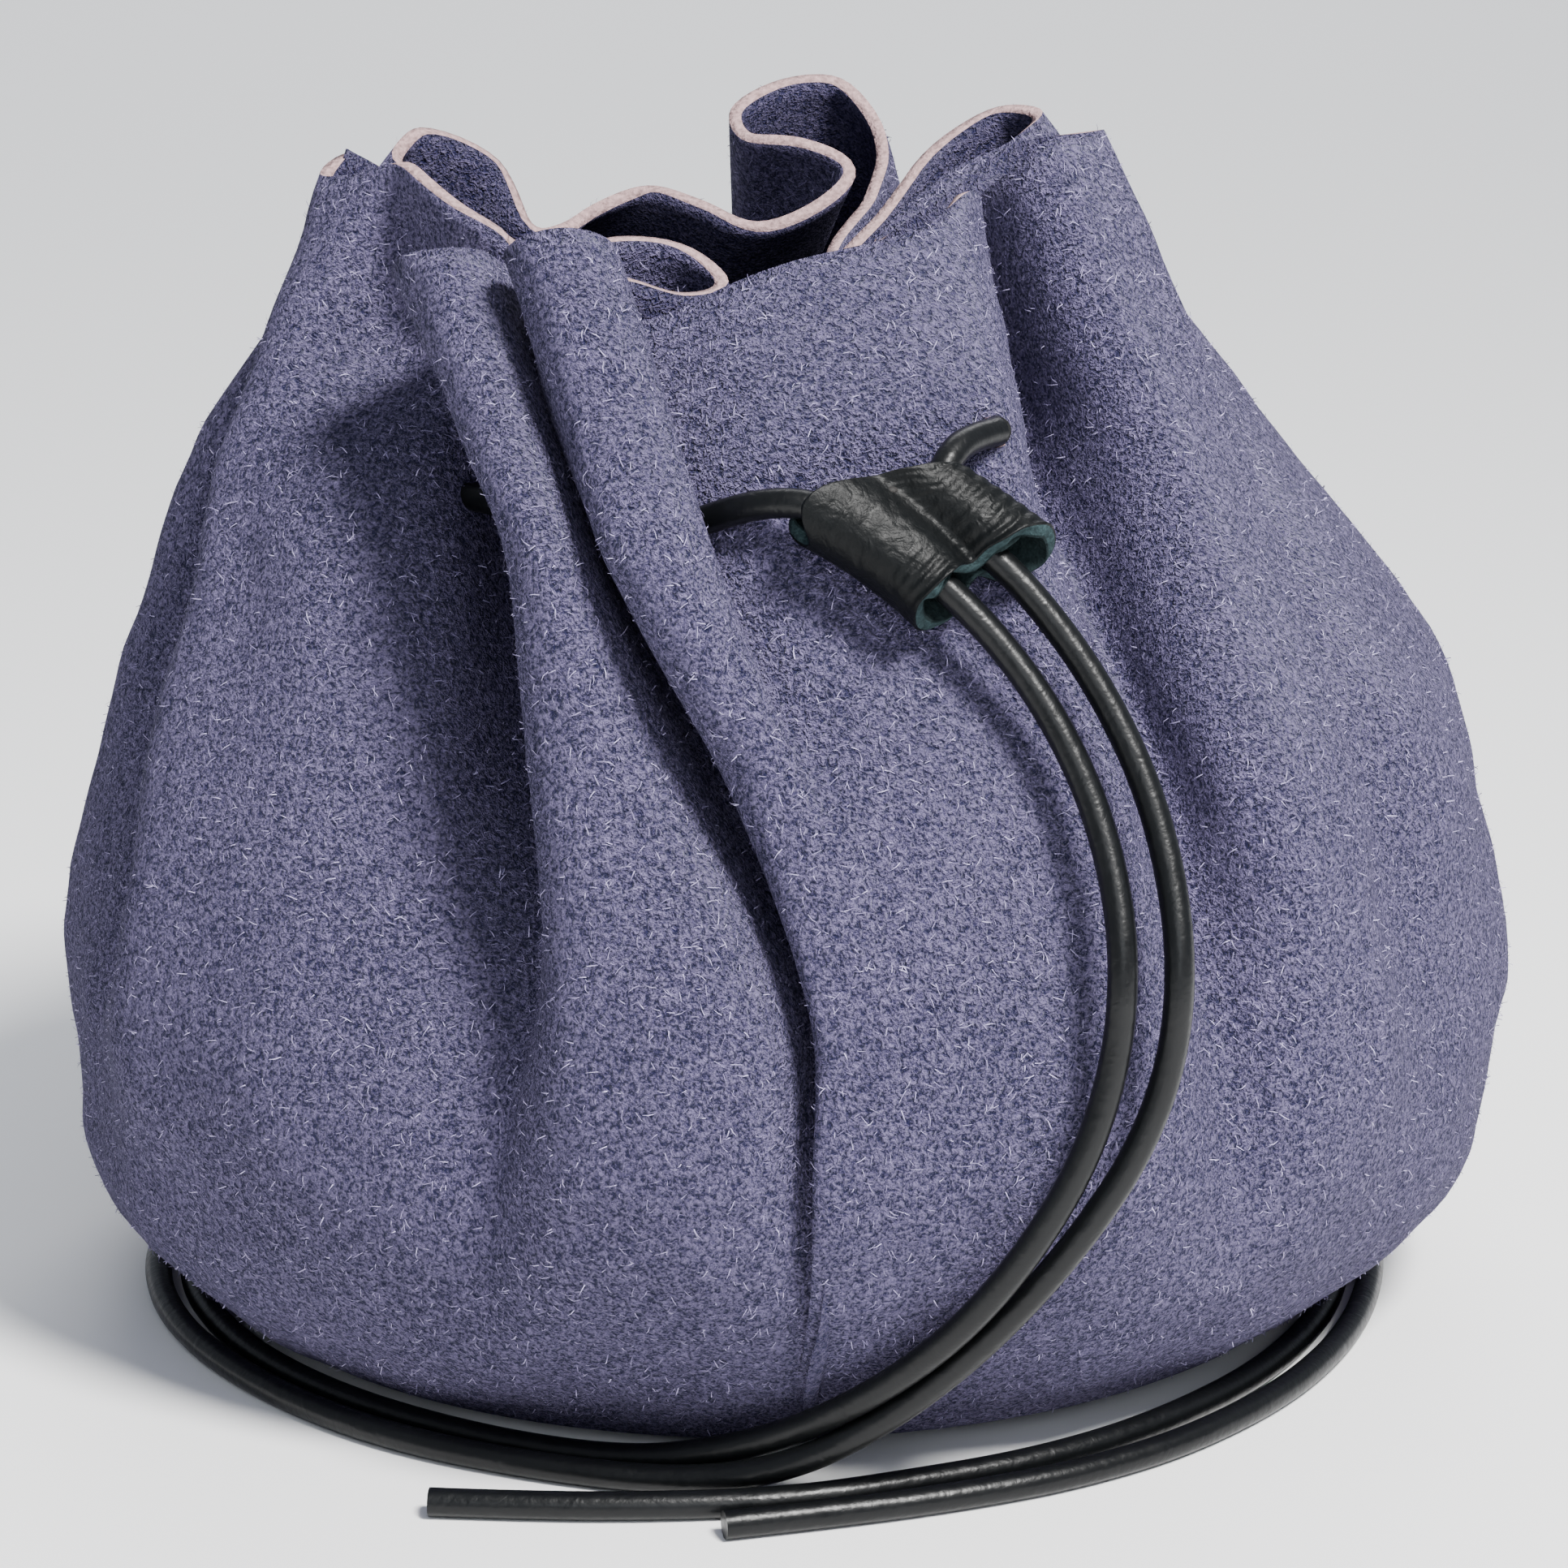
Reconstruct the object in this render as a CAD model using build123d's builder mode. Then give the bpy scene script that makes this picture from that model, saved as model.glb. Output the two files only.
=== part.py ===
from build123d import *
from math import cos, radians, sin, tan
import os

# A drawstring dice bag: one round piece of split suede gathered into pleats at the mouth,
# a round leather drawcord that runs through holes punched in the pleats, and a rolled
# leather slide on the cord's two tails. Millimetres, +Z up, front towards -Y.
# The origin is at the middle of the base, on the surface that the bag stands on.

suede_thickness = 1.2
cord_diameter = 2.5
hole_diameter = 3.2

# The bag's outside from the base up: height, radius at the front over the pleats, radius
# at the side as a share of that, sideways shift, half depth of a pleat.
bag_stations = [
    (0.0, 45.0, 1.08, -2.0, 0.0),
    (2.5, 49.8, 1.08, -1.8, 0.0),
    (7.0, 54.9, 1.10, -1.4, 0.0),
    (12.0, 58.8, 1.10, -1.0, 0.0),
    (22.0, 65.0, 1.03, -0.2, 0.0),
    (35.0, 68.0, 1.0, 0.0, 0.0),
    (58.0, 62.0, 1.0, 0.0, 0.6),
    (70.0, 57.2, 1.0, 0.0, 2.4),
    (82.0, 50.3, 1.0, 0.0, 3.6),
    (95.0, 43.6, 1.0, 0.0, 3.8),
    (108.0, 37.6, 1.0, 0.0, 4.0),
]
front_valley_start = -101.5
front_valley_end = -67.5
half_pleats = 19

# The slide turns about the common centre of the two tails' arcs. The arcs lie in one
# plane, which leans back against the bag's right front.
arc_centre = Vector(-12.9, -73.0, 53.7)
arc_plane_azimuth = -77.4
arc_plane_lean = 27.3
left_arc_radius = 41.2
right_arc_radius = 46.0

slide_thickness = 6.6
slide_edge_radius = 3.0
slide_inner_radius = 37.2
slide_outer_radius = 50.2
slide_inner_mouth = 42.1
slide_inner_rear = 64.2
slide_outer_mouth = 39.0
slide_outer_rear = 48.8
channel_diameter = 3.3
flare_start = 42.0
flare_inner_radius = 44.0
flare_width = 5.4
flare_height = 4.4
channel_mouth_end = 34.0
channel_rear_end = 72.0

stitch_radius = 43.4
stitch_angle = 51.8
thread_diameter = 0.6
knot_diameter = 1.7
knot_height = 0.5

# The drawcord round the neck, from the left hole clockwise to the right hole.
neck_route = [
    (-11.1, -47.2, 82.0),
    (-18.5, -45.0, 79.8),
    (-32.7, -36.4, 79.5),
    (-44.0, -20.5, 79.4),
    (-48.3, -1.7, 79.6),
    (-44.9, 17.2, 80.2),
    (-34.2, 33.0, 81.2),
    (-18.3, 43.1, 82.5),
    (0.0, 46.0, 84.0),
    (17.7, 41.6, 85.6),
    (31.9, 30.8, 87.0),
    (40.8, 15.6, 88.2),
    (43.4, -1.5, 89.0),
    (39.3, -18.3, 89.3),
    (30.6, -30.6, 89.3),
    (22.3, -36.4, 89.3),
    (17.7, -42.3, 89.6),
]

# The left tail: out of its hole, through the slide, down the front, once round the base.
left_tail_route = [
    (-11.1, -47.2, 82.0),
    (-7.4, -48.3, 83.1),
    (-2.8, -51.0, 85.3),
    (1.4, -52.4, 85.9),
    (5.2, -52.6, 84.6),
    (9.8, -53.1, 81.7),
    (14.2, -54.0, 78.2),
    (18.1, -55.2, 74.2),
    (21.8, -57.1, 69.2),
    (24.9, -59.5, 63.2),
    (26.8, -62.4, 56.9),
    (27.5, -65.7, 50.5),
    (27.0, -66.0, 42.5),
    (24.6, -67.0, 34.5),
    (20.4, -66.9, 26.7),
    (15.2, -65.2, 19.2),
    (9.2, -62.2, 12.8),
    (2.2, -58.9, 7.4),
    (-5.0, -55.3, 3.6),
    (-13.5, -52.2, 1.25),
    (-26.2, -47.8, 1.25),
    (-40.2, -38.2, 1.25),
    (-50.8, -25.2, 1.25),
    (-57.0, -8.6, 1.25),
    (-56.5, 10.9, 1.25),
    (-48.6, 28.7, 1.25),
    (-34.8, 42.9, 1.25),
    (-17.0, 51.5, 1.25),
    (2.6, 54.3, 1.25),
    (21.9, 49.7, 1.25),
    (38.2, 38.7, 1.25),
    (49.3, 22.7, 1.25),
    (54.0, 4.6, 1.25),
    (51.7, -14.9, 1.25),
    (44.2, -31.5, 1.25),
    (32.9, -44.4, 1.25),
    (22.0, -52.2, 1.25),
    (11.0, -56.8, 1.25),
    (0.5, -60.4, 1.25),
    (-10.0, -61.4, 1.25),
    (-20.5, -61.4, 1.25),
    (-30.0, -60.6, 1.25),
]

# The right tail runs beside it, on the outside.
right_tail_route = [
    (17.7, -42.3, 89.6),
    (16.0, -44.5, 89.7),
    (13.9, -47.5, 89.2),
    (12.3, -50.0, 86.5),
    (13.3, -51.3, 83.7),
    (17.4, -51.8, 81.1),
    (21.7, -53.2, 76.6),
    (25.8, -55.2, 71.0),
    (29.3, -58.0, 64.3),
    (31.4, -61.2, 57.3),
    (32.2, -64.8, 50.1),
    (31.6, -65.0, 42.0),
    (29.0, -65.6, 34.6),
    (25.0, -65.8, 28.0),
    (20.3, -64.8, 21.4),
    (14.8, -63.0, 14.8),
    (8.4, -61.0, 8.8),
    (1.0, -59.2, 3.9),
    (-8.0, -56.7, 1.25),
    (-20.4, -53.8, 1.25),
    (-35.2, -46.9, 1.25),
    (-47.9, -35.0, 1.25),
    (-57.0, -20.2, 1.25),
    (-60.6, -3.4, 1.25),
    (-58.6, 13.9, 1.25),
    (-49.9, 32.3, 1.25),
    (-35.2, 46.9, 1.25),
    (-15.8, 55.2, 1.25),
    (4.6, 57.3, 1.25),
    (24.7, 51.9, 1.25),
    (41.3, 40.0, 1.25),
    (52.7, 23.1, 1.25),
    (57.2, 3.6, 1.25),
    (54.6, -16.9, 1.25),
    (47.0, -34.3, 1.25),
    (35.9, -47.5, 1.25),
    (25.2, -55.0, 1.25),
    (15.0, -59.4, 1.25),
    (5.0, -62.6, 1.25),
    (-5.0, -65.2, 1.25),
]


def bend_radii(route):
    """The radius at each corner: 0.45 of the shorter run over the tangent of half the turn."""
    points = [Vector(*point) for point in route]
    radii = []
    for before, corner, after in zip(points, points[1:], points[2:]):
        run_in = corner - before
        run_out = after - corner
        shorter = min(run_in.length, run_out.length)
        radii.append(0.45 * shorter / tan(radians(run_in.get_angle(run_out) / 2)))
    return radii


def pleat_points(radius, side_share, shift, half_depth):
    """Points round one level of the bag: narrow pleats, and one wide valley at the front."""
    step = (360 - (front_valley_end - front_valley_start)) / half_pleats
    middle = radius - half_depth
    polar = []
    for half in range(half_pleats):
        start = front_valley_end + half * step
        swing = half_depth if half % 2 == 0 else -half_depth
        polar.append((middle, start))
        polar.append((middle + swing, start + step / 2))
    valley = front_valley_end - front_valley_start
    polar.append((middle, front_valley_start))
    for share, drop in ((0.25, 0.9), (0.5, 1.0), (0.75, 0.9)):
        polar.append((middle - drop * half_depth, front_valley_start + share * valley))
    return [
        (shift + side_share * r * cos(radians(angle)), r * sin(radians(angle)))
        for r, angle in polar
    ]


def inner_stations():
    """The inside of the bag: each outer level moved inwards by the suede's thickness."""
    stations = []
    for index, (height, radius, side_share, shift, half_depth) in enumerate(bag_stations):
        below = bag_stations[max(index - 1, 0)]
        above = bag_stations[min(index + 1, len(bag_stations) - 1)]
        slope = Vector(above[1] - below[1], above[0] - below[0]).normalized()
        inner_height = height + suede_thickness * slope.X
        if index == 0:
            inner_height = suede_thickness
        if index == len(bag_stations) - 1:
            inner_height = height
        inner_radius = radius - suede_thickness * slope.Y
        stations.append((inner_height, inner_radius, side_share, shift, half_depth))
    return stations


def arc_direction(angle):
    """A unit vector in the arcs' plane, anticlockwise from the level direction."""
    return arc_plane.x_dir * cos(radians(angle)) + arc_plane.y_dir * sin(radians(angle))


plane_normal = Vector(
    cos(radians(arc_plane_lean)) * cos(radians(arc_plane_azimuth)),
    cos(radians(arc_plane_lean)) * sin(radians(arc_plane_azimuth)),
    sin(radians(arc_plane_lean)),
)
level_direction = Vector(-sin(radians(arc_plane_azimuth)), cos(radians(arc_plane_azimuth)), 0)
arc_plane = Plane(origin=arc_centre, x_dir=level_direction, z_dir=plane_normal)
arc_axis = Axis(arc_centre, plane_normal)

with BuildPart() as suede_body:
    for height, *level in bag_stations:
        with BuildSketch(Plane.XY.offset(height)):
            with BuildLine():
                Spline(*pleat_points(*level), periodic=True)
            make_face()
    loft()
    for height, *level in inner_stations():
        with BuildSketch(Plane.XY.offset(height)):
            with BuildLine():
                Spline(*pleat_points(*level), periodic=True)
            make_face()
    loft(mode=Mode.SUBTRACT)
    # The punched holes, cut along the cord's own way through the pleats.
    for hole_route in (neck_route, left_tail_route[:5], right_tail_route[:5]):
        with BuildLine() as hole_line:
            FilletPolyline(*hole_route, radius=bend_radii(hole_route))
        with BuildSketch(hole_line.line ^ 0):
            Circle(hole_diameter / 2)
        sweep(mode=Mode.SUBTRACT)
suede_body.part.label = "suede_body"

cord_nodes = {}
cord_routes = {
    "drawcord_neck": neck_route,
    "drawcord_tail_left": left_tail_route,
    "drawcord_tail_right": right_tail_route,
}
for cord_name, route in cord_routes.items():
    radii = bend_radii(route)
    with BuildPart() as cord:
        with BuildLine() as centre_line:
            FilletPolyline(*route, radius=radii)
        with BuildSketch(centre_line.line ^ 0) as cord_section:
            Circle(cord_diameter / 2)
        sweep()
    cord.part.label = cord_name
    cord_nodes[cord_name] = cord.part
    length = sum(edge.length for edge in centre_line.edges())
    expected = cord_section.sketch.area * length
    print(cord_name, "length", round(length, 1), "volume ratio", round(cord.part.volume / expected, 4))
    print("  radii", [round(bend, 1) for bend in radii])

with BuildPart() as cord_slide:
    with BuildSketch(arc_plane):
        with BuildLine():
            inner_side = CenterArc(
                (0, 0), slide_inner_radius, slide_inner_mouth, slide_inner_rear - slide_inner_mouth
            )
            outer_side = CenterArc(
                (0, 0), slide_outer_radius, slide_outer_mouth, slide_outer_rear - slide_outer_mouth
            )
            Line(inner_side @ 0, outer_side @ 0)
            Line(inner_side @ 1, outer_side @ 1)
        make_face()
    extrude(amount=slide_thickness / 2, both=True)
    fillet(cord_slide.edges().filter_by(GeomType.CIRCLE), slide_edge_radius)
    # The two channels follow the tails' arcs.
    channel_plane = Plane(
        origin=arc_centre,
        x_dir=arc_direction(channel_mouth_end),
        z_dir=plane_normal.cross(arc_direction(channel_mouth_end)),
    )
    with BuildSketch(channel_plane):
        with Locations((left_arc_radius, 0), (right_arc_radius, 0)):
            Circle(channel_diameter / 2)
    revolve(axis=arc_axis, revolution_arc=channel_rear_end - channel_mouth_end, mode=Mode.SUBTRACT)
    # The right channel widens towards its rear, where the tail comes in from the side.
    flare_plane = Plane(
        origin=arc_centre,
        x_dir=arc_direction(flare_start),
        z_dir=plane_normal.cross(arc_direction(flare_start)),
    )
    with BuildSketch(flare_plane):
        with Locations((flare_inner_radius + flare_width / 2, 0)):
            SlotOverall(flare_width, flare_height)
    revolve(axis=arc_axis, revolution_arc=channel_rear_end - flare_start, mode=Mode.SUBTRACT)
    # A thread hole through the web between the channels.
    stitch_place = arc_plane.shift_origin(
        arc_centre + arc_direction(stitch_angle) * stitch_radius
    )
    with BuildSketch(stitch_place):
        Circle(thread_diameter / 2)
    extrude(amount=slide_thickness, both=True, mode=Mode.SUBTRACT)
cord_slide.part.label = "cord_slide"

with BuildPart() as slide_stitch:
    with BuildSketch(stitch_place):
        Circle(thread_diameter / 2)
    extrude(amount=slide_thickness / 2, both=True)
    for side in (1, -1):
        with BuildSketch(stitch_place.offset(side * slide_thickness / 2)):
            Circle(knot_diameter / 2)
        extrude(amount=side * knot_height)
slide_stitch.part.label = "slide_stitch"

os.makedirs("parts", exist_ok=True)
export_step(suede_body.part, "parts/suede_body.step")
for cord_name, cord_part in cord_nodes.items():
    export_step(cord_part, f"parts/{cord_name}.step")
export_step(cord_slide.part, "parts/cord_slide.step")
export_step(slide_stitch.part, "parts/slide_stitch.step")
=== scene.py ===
import random
from math import cos, pi, radians, sin

import bmesh
import bpy
import numpy as np
from bpy.props import FloatProperty, FloatVectorProperty, IntProperty, PointerProperty
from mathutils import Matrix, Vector, noise


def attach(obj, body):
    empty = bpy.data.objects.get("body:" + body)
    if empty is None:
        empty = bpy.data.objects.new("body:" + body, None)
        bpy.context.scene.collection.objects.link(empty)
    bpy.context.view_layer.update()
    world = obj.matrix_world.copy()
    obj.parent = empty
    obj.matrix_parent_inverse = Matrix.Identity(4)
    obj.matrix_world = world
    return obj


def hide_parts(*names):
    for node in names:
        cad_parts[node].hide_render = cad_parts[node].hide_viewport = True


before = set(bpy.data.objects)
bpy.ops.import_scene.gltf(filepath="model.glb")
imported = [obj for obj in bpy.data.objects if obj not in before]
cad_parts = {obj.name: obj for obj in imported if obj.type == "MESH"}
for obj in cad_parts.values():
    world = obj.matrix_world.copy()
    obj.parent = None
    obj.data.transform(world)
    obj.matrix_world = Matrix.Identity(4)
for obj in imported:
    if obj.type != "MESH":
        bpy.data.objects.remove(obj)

# A drawstring dice bag: one round piece of split suede gathered into deep folds at the
# mouth, a round leather drawcord and a rolled leather slide on the cord's two tails.
# Metres, +Z up, front towards -Y, the base standing on z = 0. The shapes below are
# written in millimetres and scaled as they are made.

bl_info = {
    "name": "Drawstring dice bag",
    "version": (1, 0, 0),
    "blender": (4, 5, 0),
    "location": "View3D > Sidebar > Dice Bag",
    "description": "Builds a suede drawstring bag with its cord, slide and stage",
    "category": "Add Mesh",
}

MM = 0.001

# The bag's outside without its folds: height, radius at the front, radius at the side as
# a share of that, and sideways shift.
ENVELOPE = (
    (0.0, 45.0, 1.08, -2.0),
    (2.5, 49.8, 1.08, -1.8),
    (7.0, 54.9, 1.10, -1.4),
    (12.0, 58.8, 1.10, -1.0),
    (22.0, 65.0, 1.03, -0.2),
    (35.0, 68.0, 1.0, 0.0),
    (45.0, 66.0, 1.0, 0.0),
)
NECK_HEIGHT = 82.0
SHOULDER_HEIGHT = 62.0
BELLY_HEIGHT = 45.0
# Distances along the suede from the middle of the base to its named rows.
BASE_EDGE_WAY = 47.0
SHOULDER_WAY = 118.0
NECK_WAY = 139.0
COLLAR_WAY = 149.0
RIM_WAY = 163.0
# The base's inner rows: distance along the suede, and share of the base's own radius.
BASE_ROWS = ((0.0, 0.0), (22.0, 0.5), (38.0, 0.85))
# The rows up to the belly: distance, height, and how much of the folds' depth they have.
BELLY_ROWS = (
    (BASE_EDGE_WAY, 1.0, 0.0),
    (53.0, 4.5, 0.0),
    (62.0, 12.0, 0.05),
    (74.0, 22.0, 0.2),
    (88.0, 33.0, 0.55),
    (100.0, BELLY_HEIGHT, 1.0),
)
# The rings of the finished sheet: those in the base, then those from its edge to the rim.
LAST_BASE_WAY = 44.0
BASE_RINGS = 9
WALL_RINGS = 72
# The first rings that are evened out, and the first that are uneven.
FIRST_RELAXED = 12
FIRST_ROUGH = 11
# How far out the collar is from the neck to the rim, and on the lines that stand upright.
COLLAR_SHARE = 0.42
UPRIGHT_SHARE = 1.05
# How far the flat panel stands forward between its neck and its rim, from right to left.
PANEL_BULGE = (4.0, 4.0, 3.4, 2.8, 2.2, 1.4, 0.8)
# The lines of FOLDS that lean in low down and stand upright at the rim.
UPRIGHT_AT_RIM = {*range(12, 18), *range(25, 28)}

# The folds, clockwise seen from above. Each line runs from the rim down to the belly: the
# point on the rim, then x and y at the neck and at the shoulder, then the angle at the
# belly and how far it lies inside the envelope there.
FOLDS = (
    # The flat panel at the front right.
    ((15.8, -24.6, 107.0), (20.4, -42.8), (27.5, -52.5), (-63.5, 0.0)),
    ((12.0, -30.0, 105.0), (14.0, -45.8), (19.0, -56.2), (-70.0, 0.0)),
    ((6.9, -33.0, 103.8), (7.5, -47.8), (12.5, -58.4), (-75.5, 0.0)),
    ((0.4, -35.0, 102.6), (2.0, -49.0), (8.5, -59.3), (-79.0, 0.0)),
    ((-4.9, -36.0, 100.7), (-2.5, -49.4), (6.0, -59.8), (-81.5, 0.0)),
    ((-10.5, -36.4, 98.2), (-9.5, -47.6), (4.5, -60.1), (-83.0, 0.0)),
    ((-15.5, -35.8, 97.5), (-12.0, -49.0), (3.4, -60.4), (-84.0, 0.0)),
    # The right one of the two narrow rolls.
    ((-13.4, -39.8, 103.0), (-5.8, -53.2), (2.4, -60.9), (-84.8, 0.0)),
    ((-14.5, -42.6, 106.0), (-6.2, -57.0), (1.2, -61.3), (-85.6, 0.0)),
    ((-17.8, -44.0, 107.0), (-9.8, -58.8), (-0.6, -61.0), (-86.3, 0.0)),
    ((-21.6, -43.0, 106.0), (-13.4, -57.4), (-2.9, -59.8), (-87.4, 0.2)),
    ((-23.3, -39.0, 103.3), (-14.9, -53.8), (-4.2, -57.2), (-88.0, 1.4)),
    # The pressed valley between the rolls, with its hooked inner end.
    ((-19.0, -30.0, 100.0), (-13.5, -47.5), (-3.4, -53.4), (-87.6, 4.5)),
    ((-14.0, -27.0, 100.0), (-12.0, -42.0), (-2.6, -50.4), (-87.2, 6.6)),
    ((-9.2, -24.5, 98.1), (-11.0, -38.0), (-2.8, -48.0), (-87.1, 8.0)),
    ((-5.9, -21.0, 98.3), (-12.5, -34.8), (-4.2, -46.6), (-87.7, 8.6)),
    ((-9.3, -17.5, 100.8), (-15.0, -37.8), (-5.9, -48.2), (-88.6, 7.2)),
    ((-14.9, -20.0, 101.8), (-15.8, -43.0), (-6.8, -51.6), (-89.6, 4.6)),
    # The left one of the two rolls.
    ((-23.0, -31.5, 101.5), (-16.2, -49.2), (-7.8, -55.2), (-90.6, 2.2)),
    ((-25.5, -36.0, 103.8), (-17.5, -53.2), (-10.3, -58.0), (-92.0, 0.6)),
    ((-28.4, -37.0, 104.1), (-20.0, -54.2), (-14.8, -59.0), (-95.5, 0.0)),
    ((-32.0, -34.6, 103.1), (-22.8, -51.8), (-19.4, -57.2), (-102.0, 0.0)),
    ((-33.2, -30.0, 100.5), (-23.4, -46.2), (-21.2, -53.2), (-107.0, 1.6)),
    # The deep valley left of the rolls.
    ((-29.0, -24.0, 99.0), (-20.8, -35.0), (-19.8, -43.0), (-110.0, 6.4)),
    ((-24.5, -20.0, 98.5), (-18.5, -14.0), (-19.0, -30.0), (-113.0, 13.0)),
    # The broad panel at the front left.
    ((-23.5, -22.5, 102.0), (-23.0, -16.5), (-22.6, -31.5), (-117.0, 11.5)),
    ((-29.2, -19.0, 105.0), (-29.4, -25.5), (-29.6, -39.0), (-123.5, 8.6)),
    ((-34.5, -13.0, 107.5), (-39.5, -26.5), (-39.5, -39.0), (-132.0, 4.6)),
    ((-38.0, -9.0, 106.0), (-46.0, -21.6), (-48.2, -33.0), (-141.5, 1.4)),
    ((-41.6, -4.5, 105.2), (-49.8, -18.0), (-54.8, -26.5), (-149.0, -0.8)),
    # The left side.
    ((-39.4, 1.0, 106.4), (-48.6, -12.5), (-54.4, -20.5), (-153.5, 2.0)),
    ((-33.0, -7.0, 104.5), (-42.0, -10.0), (-50.5, -16.5), (-158.0, 5.0)),
    ((-22.5, -17.5, 100.5), (-35.0, -8.0), (-48.5, -13.0), (-162.0, 6.4)),
    ((-30.0, -7.5, 103.5), (-43.0, -5.5), (-52.0, -8.5), (-167.0, 4.2)),
    ((-35.6, 3.0, 106.2), (-53.0, 0.5), (-61.0, 0.5), (-180.0, 0.0)),
    ((-33.4, 7.0, 107.9), (-51.0, 9.5), (-59.0, 11.0), (-190.0, 0.0)),
    ((-26.1, 9.5, 104.4), (-47.0, 16.0), (-56.0, 19.5), (-198.0, 0.5)),
    ((-23.1, 6.5, 98.9), (-36.0, 14.5), (-48.0, 21.0), (-203.0, 5.0)),
    # The back, from left to right.
    ((-20.5, 11.0, 98.2), (-33.0, 18.0), (-45.5, 24.0), (-207.0, 5.4)),
    ((-17.9, 17.0, 99.2), (-37.5, 28.5), (-47.5, 36.0), (-215.0, 0.5)),
    ((-13.0, 19.5, 100.6), (-30.0, 36.5), (-40.0, 45.5), (-227.0, 0.0)),
    ((-7.5, 15.5, 99.7), (-20.0, 38.0), (-31.0, 50.5), (-237.0, 1.0)),
    ((-2.5, 12.0, 98.2), (-12.0, 31.0), (-21.0, 46.5), (-245.0, 5.4)),
    ((3.2, 14.0, 100.1), (-6.5, 30.5), (-16.5, 48.0), (-251.0, 5.0)),
    ((6.0, 17.8, 102.5), (-1.5, 37.0), (-13.0, 55.0), (-255.0, 1.4)),
    ((1.5, 20.5, 104.1), (-2.5, 41.0), (-10.0, 57.5), (-258.0, 0.7)),
    ((-4.0, 23.3, 104.3), (-5.0, 44.8), (-7.0, 59.3), (-261.0, 0.0)),
    ((-5.2, 28.0, 106.6), (-4.5, 48.8), (-3.0, 60.4), (-265.0, 0.0)),
    ((-0.2, 33.0, 108.8), (2.0, 51.0), (5.0, 60.6), (-272.0, 0.0)),
    ((5.6, 34.5, 108.8), (9.5, 49.5), (13.0, 59.2), (-281.0, 0.0)),
    ((10.0, 29.0, 104.2), (15.0, 45.0), (20.5, 56.0), (-289.0, 0.6)),
    ((9.3, 19.5, 100.0), (15.0, 38.0), (24.0, 51.5), (-295.0, 2.0)),
    ((6.2, 8.5, 97.8), (13.5, 27.5), (23.5, 44.5), (-299.5, 5.6)),
    # The right side.
    ((5.2, 2.0, 97.0), (15.5, 23.5), (26.0, 42.0), (-303.0, 5.8)),
    ((8.6, 6.0, 99.7), (21.0, 30.0), (32.0, 46.5), (-307.0, 2.2)),
    ((14.2, 14.0, 105.4), (27.0, 32.0), (39.0, 44.5), (-315.0, 0.8)),
    ((20.0, 16.8, 108.4), (36.0, 25.5), (50.5, 33.0), (-332.0, 0.0)),
    ((24.0, 12.5, 108.5), (42.5, 14.0), (58.8, 14.0), (-352.0, 0.0)),
    ((21.0, 9.5, 106.2), (44.0, 4.0), (59.5, -6.0), (-369.0, 0.0)),
    ((14.1, 4.5, 103.6), (41.0, -4.0), (54.5, -23.0), (-384.0, 1.4)),
    ((8.3, -3.5, 98.8), (35.0, -7.5), (48.6, -27.5), (-391.0, 3.6)),
    ((14.0, -3.0, 102.8), (35.8, -10.2), (47.6, -30.4), (-394.0, 3.4)),
    ((21.0, 1.5, 106.8), (39.4, -12.8), (48.2, -34.2), (-396.5, 1.8)),
    # The fold at the front right, and the valley beside the flat panel.
    ((28.8, -4.0, 109.2), (41.2, -15.5), (48.0, -37.0), (-399.5, 0.2)),
    ((27.5, -7.5, 109.5), (38.6, -21.5), (45.2, -41.2), (-403.0, 0.0)),
    ((22.8, -11.4, 109.2), (34.8, -26.3), (41.6, -44.6), (-406.5, 0.2)),
    ((19.6, -11.0, 106.5), (29.6, -24.5), (37.0, -44.0), (-410.0, 2.8)),
    ((14.5, -3.0, 101.0), (20.0, -12.0), (30.5, -35.5), (-413.5, 7.4)),
    ((17.2, -17.5, 104.6), (22.0, -29.5), (29.2, -44.2), (-417.5, 4.0)),
)

# The left tail and the right tail leave the two holes in the flat panel.
LEFT_TAIL = (
    (-11.1, -47.2, 82.0), (-7.4, -48.3, 83.1), (-2.8, -51.0, 85.3), (1.4, -52.4, 85.9),
    (5.2, -52.6, 84.6), (9.8, -53.1, 81.7), (14.2, -54.0, 78.2), (18.1, -55.2, 74.2),
    (21.8, -57.1, 69.2), (24.9, -59.5, 63.2), (26.8, -62.4, 56.9), (27.5, -65.7, 50.5),
    (27.0, -66.0, 42.5), (24.6, -67.0, 34.5), (20.4, -66.9, 26.7), (15.2, -65.2, 19.2),
    (9.2, -62.2, 12.8), (2.2, -58.9, 7.4), (-5.0, -55.3, 3.6), (-13.5, -52.2, 1.25),
    (-26.2, -47.8, 1.25), (-40.2, -38.2, 1.25), (-50.8, -25.2, 1.25), (-57.0, -8.6, 1.25),
    (-56.5, 10.9, 1.25), (-48.6, 28.7, 1.25), (-34.8, 42.9, 1.25), (-17.0, 51.5, 1.25),
    (2.6, 54.3, 1.25), (21.9, 49.7, 1.25), (38.2, 38.7, 1.25), (49.3, 22.7, 1.25),
    (54.0, 4.6, 1.25), (51.7, -14.9, 1.25), (44.2, -31.5, 1.25), (32.9, -44.4, 1.25),
    (22.0, -52.2, 1.25), (11.0, -56.8, 1.25), (0.5, -60.4, 1.25), (-10.0, -61.4, 1.25),
    (-20.5, -61.4, 1.25), (-30.0, -60.6, 1.25),
)
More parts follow.
